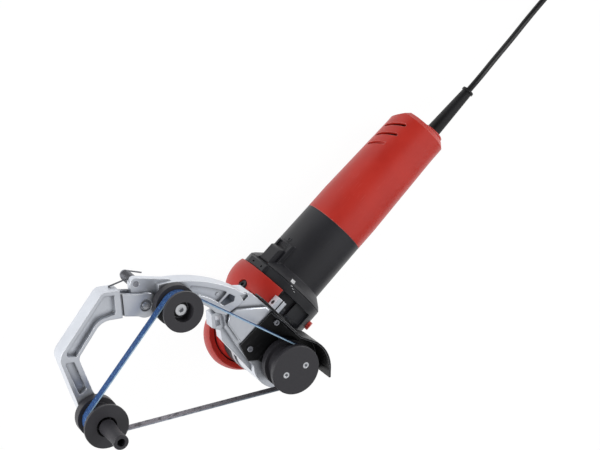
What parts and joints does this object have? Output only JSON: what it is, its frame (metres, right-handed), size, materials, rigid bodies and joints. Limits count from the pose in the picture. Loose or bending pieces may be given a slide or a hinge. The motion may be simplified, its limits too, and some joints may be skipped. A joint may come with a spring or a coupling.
{
  "type": "pipe sander",
  "caption": "Corded pipe sander: red angle-motor body whose spindle drives a narrow abrasive belt round rollers on a hooked, hinged aluminium arm.",
  "frame": {"origin": "on the flat back of the hood, where the spindle axis meets it", "axes": "+X along the motor barrel towards the cord, +Y towards the arm, +Z along the spindle to the rollers"},
  "size_m": [0.8488, 0.269, 0.206],
  "materials": {
    "red_shell": "satin red moulding",
    "black_plastic": "fine matt black moulding",
    "black_alloy": "black coated die casting",
    "cast_alloy": "bead blasted casting",
    "roller_black": "matt black",
    "steel": "ground steel",
    "dark_steel": "blackened steel",
    "spring_steel": "oiled spring wire",
    "laminations": "stacked sheet",
    "copper": "lacquered copper",
    "abrasive": "blue coated abrasive",
    "carbon": "pressed carbon",
    "cord_rubber": "smooth rubber"
  },
  "bodies": {
    "grinder": {"motor_housing": "red_shell", "front_sleeve": "black_plastic", "gear_case": "black_alloy", "case_screws": "steel", "grip_hood": "red_shell", "hood_screws": "dark_steel", "bearing_flange": "cast_alloy", "flange_screws": "steel", "spindle_bearing": "steel", "tail_bush": "copper", "front_motor_bearing": "steel", "rear_motor_bearing": "steel", "stator_core": "laminations", "field_coils": "copper", "air_baffle": "black_plastic", "bearing_bridge": "black_plastic", "brush_holders": "black_plastic", "carbon_brushes": "carbon", "brush_springs": "spring_steel", "mains_switch": "black_plastic", "control_module": "black_plastic", "cord_clamp": "black_plastic", "strain_relief": "cord_rubber", "lock_spring": "spring_steel", "mains_cord": "cord_rubber", "cord_coil": "cord_rubber", "cord_tail": "cord_rubber", "coil_tie": "black_plastic", "mains_plug": "cord_rubber"},
    "slide_switch": {"slide_button": "black_plastic", "switch_rod": "black_plastic"},
    "shaft_lock": {"lock_button": "red_shell"},
    "spindle_drive": {"spindle": "steel", "crown_gear": "steel", "drive_roller": "roller_black", "drive_disc": "roller_black", "disc_screws": "steel"},
    "armature": {"armature_shaft": "steel", "armature_core": "laminations", "armature_windings": "copper", "commutator": "copper", "cooling_fan": "black_plastic", "pinion": "steel"},
    "inner_arm": {"arm_bracket": "cast_alloy", "clamp_screw": "steel", "guard_sheet": "dark_steel", "guard_screws": "steel", "idler_axle": "steel", "sanding_belt": "abrasive", "spring_pin": "steel", "tension_spring": "spring_steel"},
    "hinged_arm": {"outer_arm": "cast_alloy", "hinge_pin": "steel", "tip_axle": "steel", "grip_stub": "roller_black"},
    "idler": {"idler_roller": "roller_black", "idler_bearings": "steel"},
    "tip": {"tip_roller": "roller_black", "tip_bearings": "steel"}
  },
  "joints": [
    {"name": "switch_slide", "type": "slide", "parent": "grinder", "child": "slide_switch", "axis": [1, 0, 0], "range_m": [0, 0.008]},
    {"name": "lock_press", "type": "slide", "parent": "grinder", "child": "shaft_lock", "axis": [0, 0.7771, -0.6293], "range_m": [0, 0.004], "stiffness_N_per_m": 600, "springref_m": -0.002},
    {"name": "spindle_spin", "type": "hinge", "parent": "grinder", "child": "spindle_drive", "pos_m": [0, 0, 0.1], "axis": [0, 0, 1], "continuous": true},
    {"name": "armature_spin", "type": "hinge", "parent": "grinder", "child": "armature", "pos_m": [0.1, 0, 0.038], "axis": [1, 0, 0], "continuous": true},
    {"name": "arm_swivel", "type": "hinge", "parent": "grinder", "child": "inner_arm", "pos_m": [0, 0, 0.1], "axis": [0, 0, 1], "range_deg": [-45, 45]},
    {"name": "arm_fold", "type": "hinge", "parent": "inner_arm", "child": "hinged_arm", "pos_m": [-0.053, 0.168, 0.123], "axis": [0, 0, 1], "range_deg": [0, 12], "stiffness_Nm_per_rad": 4, "springref_deg": -8.59, "deforming": ["sanding_belt", "tension_spring"]},
    {"name": "idler_spin", "type": "hinge", "parent": "inner_arm", "child": "idler", "pos_m": [-0.0336, 0.1493, 0.149], "axis": [0, 0, 1], "continuous": true},
    {"name": "tip_spin", "type": "hinge", "parent": "hinged_arm", "child": "tip", "pos_m": [-0.1668, 0.1302, 0.149], "axis": [0, 0, 1], "continuous": true}
  ],
  "couplings": [
    {"joint": "armature_spin", "follows": "spindle_spin", "ratio": -3},
    {"joint": "idler_spin", "follows": "spindle_spin", "ratio": 1.3625},
    {"joint": "tip_spin", "follows": "spindle_spin", "ratio": 1.3625}
  ]
}
